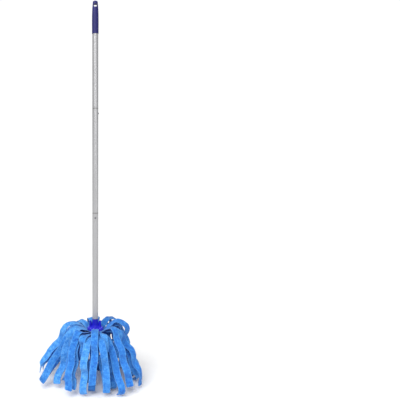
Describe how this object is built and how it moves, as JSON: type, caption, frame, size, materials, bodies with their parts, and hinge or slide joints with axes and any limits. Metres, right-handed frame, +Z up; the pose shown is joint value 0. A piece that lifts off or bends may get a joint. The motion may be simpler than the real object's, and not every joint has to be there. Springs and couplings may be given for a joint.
{
  "type": "strip mop",
  "caption": "Microfibre strip mop standing on its splayed strips, with a sectional metal handle, snap buttons, a grip with a hanging hole and a screw-in head.",
  "frame": {"origin": "on the pole's axis, at the level of the floor that the strips stand on", "axes": "+Z up along the pole, -Y towards the front, where the lower snap button faces, +X to the right, where the upper snap button faces"},
  "size_m": [0.3754, 0.308, 1.416],
  "materials": {
    "microfibre": "matte",
    "socket_plastic": "gloss",
    "grip_plastic": "satin",
    "tube_metal": "satin",
    "button_steel": "satin",
    "spring_steel": "satin",
    "washer_rubber": "matte"
  },
  "bodies": {
    "mop_head": {"socket": "socket_plastic", "clamp_plate": "socket_plastic", "plate_pegs": "socket_plastic", "strip_01": "microfibre", "strip_02": "microfibre", "strip_03": "microfibre", "strip_04": "microfibre", "strip_05": "microfibre", "strip_06": "microfibre", "strip_07": "microfibre", "strip_08": "microfibre", "strip_09": "microfibre", "strip_10": "microfibre", "strip_11": "microfibre", "strip_12": "microfibre", "strip_13": "microfibre", "strip_14": "microfibre", "strip_15": "microfibre", "strip_16": "microfibre", "strip_17": "microfibre", "strip_18": "microfibre", "strip_19": "microfibre", "strip_20": "microfibre"},
    "washer": {"tip_washer": "washer_rubber"},
    "handle": {"lower_tube": "tube_metal", "middle_tube": "tube_metal", "upper_tube": "tube_metal", "grip": "grip_plastic", "threaded_tip": "grip_plastic", "lower_v_spring": "spring_steel", "upper_v_spring": "spring_steel"},
    "lower_button": {"lower_snap_button": "button_steel"},
    "upper_button": {"upper_snap_button": "button_steel"}
  },
  "joints": [
    {"name": "handle_rise", "type": "slide", "parent": "mop_head", "child": "washer", "axis": [0, 0, 1], "range_m": [0, 0.015]},
    {"name": "handle_unscrew", "type": "hinge", "parent": "washer", "child": "handle", "pos_m": [0, 0, 0.235], "axis": [0, 0, 1], "range_deg": [0, 1080]},
    {"name": "lower_button_press", "type": "slide", "parent": "handle", "child": "lower_button", "axis": [0, 1, 0], "range_m": [0, 0.003], "stiffness_N_per_m": 600, "deforming": ["lower_v_spring"]},
    {"name": "upper_button_press", "type": "slide", "parent": "handle", "child": "upper_button", "axis": [-1, 0, 0], "range_m": [0, 0.003], "stiffness_N_per_m": 600, "deforming": ["upper_v_spring"]}
  ],
  "couplings": [
    {"joint": "handle_unscrew", "follows": "handle_rise", "rad_per_m": 1256.6}
  ]
}
